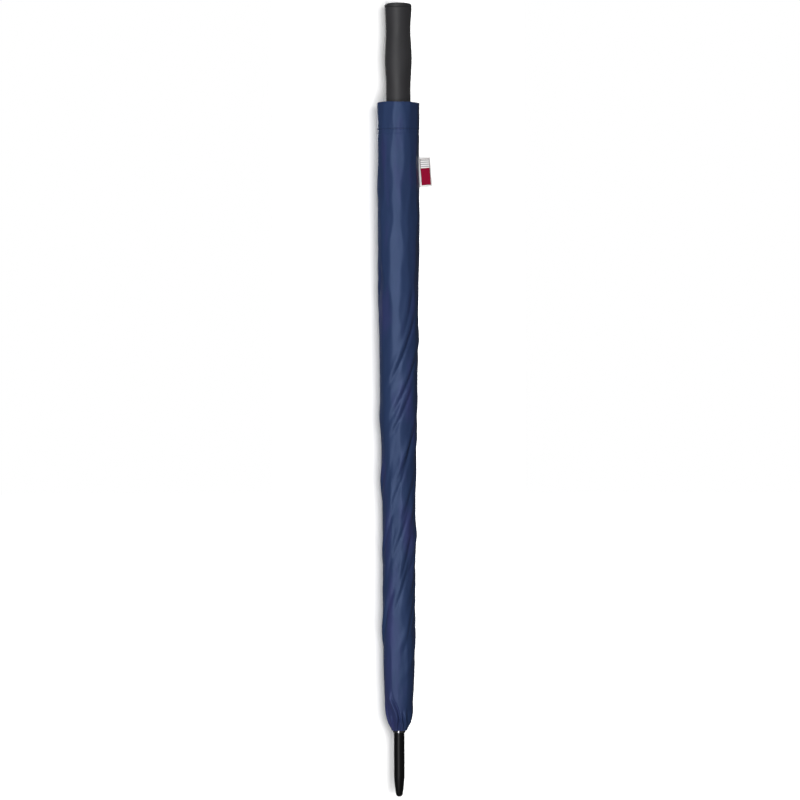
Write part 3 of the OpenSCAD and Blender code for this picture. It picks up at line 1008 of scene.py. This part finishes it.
# finishes of the parts that are turned or moulded
def dress(nodes, material):
    for name in nodes:
        finishWith(frame["nodes"][name], material)


ribs = range(1, ribCount + 1)
dress(["shaft"], shaftSteel)
dress(["ferrule_ring"], darkNickel)
dress(["crown_wire", "top_stop", "catch_pins", "upper_catch", "lower_catch"], brightMetal)
dress(["crown", "crown_cap", "runner", "runner_collar", "handle_core", "handle_collar"], hubPlastic)
dress([f"rib_{n}" for n in ribs], ribGlassFibre)
dress([f"rib_tip_{n}" for n in ribs] + [f"rib_clip_{n}" for n in ribs], hubPlastic)
dress([f"stretcher_{n}" for n in ribs], blackEnamel)


# what rides on what
for piece in (sleeve, hemStitches, label):
    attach(piece, "sleeve")
    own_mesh(piece)
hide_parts("sleeve")
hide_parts("sleeve_label")
for piece, node, slot in ((handleGrip, "handle_grip", "grip_rubber"),
                          (endCap, "handle_end_cap", "handle_plastic"),
                          (ferrule, "ferrule", "ferrule_plastic")):
    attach(piece, "stick")
    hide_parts(node)
for number, (panel, start, end) in enumerate(panels, 1):
    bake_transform(panel)
    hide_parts(f"canopy_panel_{number}")
for piece, node, slot in ((strap, "strap", "canopy_cloth"), (snap, "strap_snap", "bright_metal")):
    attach(piece, "rib_1")
    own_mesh(piece)
    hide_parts(node)


# stage, lights and camera
stageLook = {
    "objectShare": 0.99125,  # of the view's height
    "distance": 3.7,
    "aside": 1.7 * mm,
    "lean": 0.0019,  # of the view, in radians
    "sensor": 36,
    "floor": {"whiteness": 0.2, "glow": 0.985},
    "floorBelow": 0.5 * mm,
    "floorReach": 12,
    "backdrop": {"whiteness": 0.8, "glow": 0.2},
    "backdropGap": 31 * mm,
    "backdropSide": 0.16,
    "roomLight": 0.12,  # strength of the room's light on the pieces
    "roomSeen": 1.0,  # and as a plain white wall
}


def paper(name, whiteness, glow):
    # pale paper that glows a little, and is see-through from behind
    material = bpy.data.materials.new(name)
    material.use_nodes = True
    tree = material.node_tree
    tree.nodes.clear()
    out = tree.nodes.new("ShaderNodeOutputMaterial")
    matt = addNode(tree, "ShaderNodeBsdfDiffuse", Color=(whiteness, whiteness, whiteness, 1))
    light = addNode(tree, "ShaderNodeEmission", Strength=glow)
    both = tree.nodes.new("ShaderNodeAddShader")
    clear = tree.nodes.new("ShaderNodeBsdfTransparent")
    side = tree.nodes.new("ShaderNodeNewGeometry")
    mix = tree.nodes.new("ShaderNodeMixShader")
    tree.links.new(matt.outputs[0], both.inputs[0])
    tree.links.new(light.outputs[0], both.inputs[1])
    tree.links.new(side.outputs["Backfacing"], mix.inputs[0])
    tree.links.new(both.outputs[0], mix.inputs[1])
    tree.links.new(clear.outputs[0], mix.inputs[2])
    tree.links.new(mix.outputs[0], out.inputs["Surface"])
    return material


def stagePlane(name, corners, material):
    mesh = bpy.data.meshes.new(name)
    mesh.from_pydata(corners, [], [(0, 1, 2, 3)])
    piece = bpy.data.objects.new(name, mesh)
    bpy.context.collection.objects.link(piece)
    finishWith(piece, material)
    piece.visible_diffuse = False
    piece.visible_glossy = False
    piece.visible_shadow = False
    return piece


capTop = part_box("handle_end_cap")[1].z
middleHeight = (tipHeight + capTop) / 2
objectLength = capTop - tipHeight
gap = stageLook["backdropGap"]
side = stageLook["backdropSide"]
reach = stageLook["floorReach"]
floorLevel = tipHeight - stageLook["floorBelow"]
wallTop = middleHeight + objectLength / 2 + side
floorCorners = [(-reach, -reach, floorLevel), (reach, -reach, floorLevel), (reach, reach, floorLevel),
                (-reach, reach, floorLevel)]
wallCorners = [(-side, gap, floorLevel), (side, gap, floorLevel), (side, gap, wallTop), (-side, gap, wallTop)]
floor = stagePlane("floor", floorCorners, paper("floorPaper", **stageLook["floor"]))
backdrop = stagePlane("backdrop", wallCorners, paper("backdropPaper", **stageLook["backdrop"]))
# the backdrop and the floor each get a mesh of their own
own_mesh(backdrop)
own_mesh(floor)

world = bpy.data.worlds.new("studio")
bpy.context.scene.world = world
world.use_nodes = True
sky = world.node_tree.nodes["Background"]
sky.inputs["Color"].default_value = (1, 1, 1, 1)
path = world.node_tree.nodes.new("ShaderNodeLightPath")
power = world.node_tree.nodes.new("ShaderNodeMapRange")
power.inputs["To Min"].default_value = stageLook["roomLight"]
power.inputs["To Max"].default_value = stageLook["roomSeen"]
world.node_tree.links.new(path.outputs["Is Camera Ray"], power.inputs["Value"])
world.node_tree.links.new(power.outputs["Result"], sky.inputs["Strength"])


middle = Vector((0, 0, middleHeight))
wallMiddle = Vector((0, gap, middleHeight))
# where each light stands from the middle of the umbrella, what it faces, its width and height, and its watts
lightPlan = {
    "keyLight": ((-0.60, -2.3, 0.1), middle, 0.8, 2.1, 54),
    "fillLight": ((1.6, -1.6, 0.3), middle, 0.5, 1.6, 2.5),
    "backLight": ((-0.9, 2.1, 1.3), middle, 0.8, 1.8, 34),
    "topLight": ((0, -0.4, 2.6), middle, 1.8, 1.8, 24),
    "lowLight": ((0, 0.5, -2.4), middle, 1.6, 1.6, 14),
    "shadeLight": ((0.58, -2.2, 0), wallMiddle, 1.3, 1.6, 98),
}


def softLight(name, offset, target, width, height, watts):
    lamp = bpy.data.lights.new(name, "AREA")
    lamp.shape = "RECTANGLE"
    lamp.size, lamp.size_y = width, height
    lamp.energy = watts
    light = bpy.data.objects.new(name, lamp)
    bpy.context.collection.objects.link(light)
    light.location = middle + Vector(offset)
    light.rotation_euler = (target - light.location).to_track_quat("-Z", "Y").to_euler()
    return light


def receivers(name, pieces):
    # a collection of the only pieces that a light falls on
    group = bpy.data.collections.new(name)
    for piece in pieces:
        group.objects.link(piece)
    return group


lights = {name: softLight(name, *plan) for name, plan in lightPlan.items()}
lights["shadeLight"].light_linking.receiver_collection = receivers("paperOnly", (backdrop, floor))
objectPieces = [o for o in bpy.context.scene.objects if o.type == "MESH" and o not in (floor, backdrop)]
objectOnly = receivers("objectOnly", objectPieces)
for name in ("keyLight", "fillLight"):
    lights[name].light_linking.receiver_collection = objectOnly

camera = bpy.data.objects.new("camera", bpy.data.cameras.new("camera"))
bpy.context.collection.objects.link(camera)
camera.location = (stageLook["aside"], -stageLook["distance"], middleHeight)
camera.rotation_euler = (math.pi / 2, stageLook["lean"], 0)
camera.data.sensor_width = stageLook["sensor"]
halfView = objectLength / stageLook["objectShare"] / 2 / stageLook["distance"]
camera.data.lens = stageLook["sensor"] / 2 / halfView
camera.data.clip_start, camera.data.clip_end = 0.05, 30
bpy.context.scene.camera = camera
bpy.context.scene.view_settings.view_transform = "Standard"
print("stage, lights and camera made")
